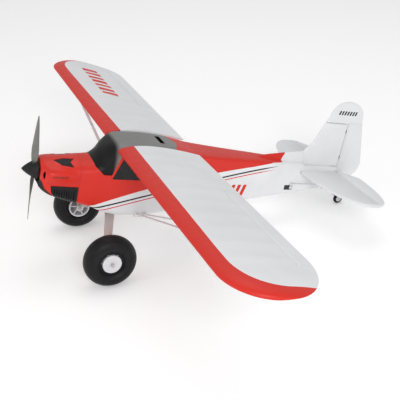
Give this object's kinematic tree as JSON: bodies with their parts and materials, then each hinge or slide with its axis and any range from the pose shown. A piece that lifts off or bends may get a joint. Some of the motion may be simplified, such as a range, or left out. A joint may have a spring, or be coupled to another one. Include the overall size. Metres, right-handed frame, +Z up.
{
  "type": "rc foam airplane",
  "caption": "High-wing tail-dragger radio-control model aeroplane in moulded foam with electric motor, propeller, big wheels and hinged control surfaces.",
  "frame": {"origin": "centre of the overall box in X and Y, on the ground under the three wheels", "axes": "+X towards the nose, +Y towards the left wing tip, +Z up, standing nose-up on its three wheels"},
  "size_m": [0.8272, 1.2994, 0.3389],
  "materials": {
    "red_foam": "satin",
    "white_foam": "satin",
    "black_trim": "satin",
    "grey_plastic": "satin",
    "white_plastic": "gloss",
    "tyre_foam": "matte",
    "gear_alloy": "satin",
    "steel_wire": "satin",
    "motor_black": "satin",
    "plywood": "matte",
    "battery_wrap": "gloss",
    "strap_web": "matte",
    "carbon_tube": "satin"
  },
  "bodies": {
    "airframe": {"fuselage_left": "white_foam", "fuselage_right": "white_foam", "cowl": "red_foam", "chin_scoop": "black_trim", "cooling_fins": "black_trim", "cowl_vents": "black_trim", "firewall": "plywood", "motor_stator": "steel_wire", "speed_controller": "black_trim", "battery": "battery_wrap", "battery_strap": "strap_web", "receiver": "black_trim", "side_windows": "black_trim", "wing_left": "white_foam", "wing_right": "white_foam", "wing_spar": "carbon_tube", "aileron_servo_left": "black_trim", "aileron_servo_right": "black_trim", "surface_hinges": "black_trim", "wing_struts": "white_plastic", "strut_brackets": "white_plastic", "gear_strap": "gear_alloy", "gear_plate": "white_plastic", "gear_fasteners": "steel_wire", "axles": "steel_wire", "fin": "white_foam", "stabilizer": "white_foam", "elevator_servo": "black_trim", "rudder_servo": "black_trim", "tail_bracket": "black_trim"},
    "hatch": {"hatch": "black_trim"},
    "latch": {"hatch_latch": "black_trim"},
    "propeller": {"motor_can": "motor_black", "propeller": "grey_plastic", "spinner": "black_trim", "spinner_backplate": "black_trim"},
    "left_wheel": {"tyre_left": "tyre_foam", "hub_left": "white_plastic"},
    "right_wheel": {"tyre_right": "tyre_foam", "hub_right": "white_plastic"},
    "left_aileron": {"aileron_left": "white_foam", "aileron_horn_left": "black_trim"},
    "right_aileron": {"aileron_right": "white_foam", "aileron_horn_right": "black_trim"},
    "left_aileron_arm": {"aileron_arm_left": "white_plastic"},
    "right_aileron_arm": {"aileron_arm_right": "white_plastic"},
    "left_aileron_rod": {"aileron_rod_left": "steel_wire"},
    "right_aileron_rod": {"aileron_rod_right": "steel_wire"},
    "elevator": {"elevator_left": "white_foam", "elevator_right": "white_foam", "elevator_joiner": "black_trim"},
    "elevator_arm": {"elevator_arm": "white_plastic"},
    "elevator_rod": {"elevator_rod": "steel_wire"},
    "rudder": {"rudder": "white_foam", "rudder_horn": "black_trim", "tail_wire": "steel_wire"},
    "rudder_arm": {"rudder_arm": "white_plastic"},
    "rudder_rod": {"rudder_rod": "steel_wire"},
    "tail_wheel": {"tail_wheel": "tyre_foam"}
  },
  "joints": [
    {"name": "propeller_spin", "type": "hinge", "parent": "airframe", "child": "propeller", "pos_m": [0.37883, 0, 0.22554], "axis": [0.9757, 0, 0.2193], "continuous": true},
    {"name": "left_wheel_spin", "type": "hinge", "parent": "airframe", "child": "left_wheel", "pos_m": [0.27425, 0.14, 0.057], "axis": [0, 1, 0], "continuous": true},
    {"name": "right_wheel_spin", "type": "hinge", "parent": "airframe", "child": "right_wheel", "pos_m": [0.27425, -0.14, 0.057], "axis": [0, 1, 0], "continuous": true},
    {"name": "hatch_lift", "type": "slide", "parent": "airframe", "child": "hatch", "axis": [-0.2193, 0, 0.9757], "range_m": [0, 0.08]},
    {"name": "latch_slide", "type": "slide", "parent": "hatch", "child": "latch", "axis": [0.9757, 0, 0.2193], "range_m": [0, 0.003], "stiffness_N_per_m": 100},
    {"name": "left_aileron_hinge", "type": "hinge", "parent": "airframe", "child": "left_aileron", "pos_m": [0.07095, 0.39998, 0.22913], "axis": [-0.0015, 1, 0.0068], "range_deg": [-25, 25]},
    {"name": "right_aileron_hinge", "type": "hinge", "parent": "airframe", "child": "right_aileron", "pos_m": [0.07095, -0.39998, 0.22913], "axis": [0.0015, 1, -0.0068], "range_deg": [-25, 25]},
    {"name": "left_aileron_arm_turn", "type": "hinge", "parent": "airframe", "child": "left_aileron_arm", "pos_m": [0.12179, 0.32998, 0.24006], "axis": [-0.0015, 1, 0.0068], "range_deg": [-25, 25]},
    {"name": "left_aileron_rod_pivot", "type": "hinge", "parent": "left_aileron_arm", "child": "left_aileron_rod", "pos_m": [0.12618, 0.33012, 0.22055], "axis": [-0.0015, 1, 0.0068], "range_deg": [-25, 25]},
    {"name": "right_aileron_arm_turn", "type": "hinge", "parent": "airframe", "child": "right_aileron_arm", "pos_m": [0.12179, -0.32998, 0.24006], "axis": [0.0015, 1, -0.0068], "range_deg": [-25, 25]},
    {"name": "right_aileron_rod_pivot", "type": "hinge", "parent": "right_aileron_arm", "child": "right_aileron_rod", "pos_m": [0.12618, -0.33012, 0.22055], "axis": [0.0015, 1, -0.0068], "range_deg": [-25, 25]},
    {"name": "elevator_hinge", "type": "hinge", "parent": "airframe", "child": "elevator", "pos_m": [-0.33763, 0, 0.09113], "axis": [0, 1, 0], "range_deg": [-15, 15]},
    {"name": "elevator_arm_turn", "type": "hinge", "parent": "airframe", "child": "elevator_arm", "pos_m": [-0.20674, 0.022, 0.08109], "axis": [0, 1, 0], "range_deg": [-38, 38]},
    {"name": "elevator_rod_pivot", "type": "hinge", "parent": "elevator_arm", "child": "elevator_rod", "pos_m": [-0.20937, 0.022, 0.0928], "axis": [0, 1, 0], "range_deg": [-38, 38]},
    {"name": "rudder_hinge", "type": "hinge", "parent": "airframe", "child": "rudder", "pos_m": [-0.34898, 0, 0.11882], "axis": [-0.2193, 0, 0.9757], "range_deg": [-25, 25]},
    {"name": "rudder_arm_turn", "type": "hinge", "parent": "airframe", "child": "rudder_arm", "pos_m": [-0.20674, -0.022, 0.08109], "axis": [0, 1, 0], "range_deg": [-33, 33]},
    {"name": "rudder_rod_pivot", "type": "hinge", "parent": "rudder_arm", "child": "rudder_rod", "pos_m": [-0.20937, -0.022, 0.0928], "axis": [0, 1, 0], "range_deg": [-33, 33]},
    {"name": "tail_wheel_spin", "type": "hinge", "parent": "rudder", "child": "tail_wheel", "pos_m": [-0.35685, 0, 0.0125], "axis": [0, 1, 0], "continuous": true}
  ],
  "couplings": [
    {"joint": "right_aileron_hinge", "follows": "left_aileron_hinge", "ratio": -1},
    {"joint": "left_aileron_arm_turn", "follows": "left_aileron_hinge", "ratio": 1},
    {"joint": "left_aileron_rod_pivot", "follows": "left_aileron_hinge", "ratio": -1},
    {"joint": "right_aileron_arm_turn", "follows": "left_aileron_hinge", "ratio": -1},
    {"joint": "right_aileron_rod_pivot", "follows": "left_aileron_hinge", "ratio": 1},
    {"joint": "elevator_arm_turn", "follows": "elevator_hinge", "ratio": -2.4767},
    {"joint": "elevator_rod_pivot", "follows": "elevator_hinge", "ratio": 2.4767},
    {"joint": "rudder_arm_turn", "follows": "rudder_hinge", "ratio": 1.2756},
    {"joint": "rudder_rod_pivot", "follows": "rudder_hinge", "ratio": -1.2756}
  ]
}
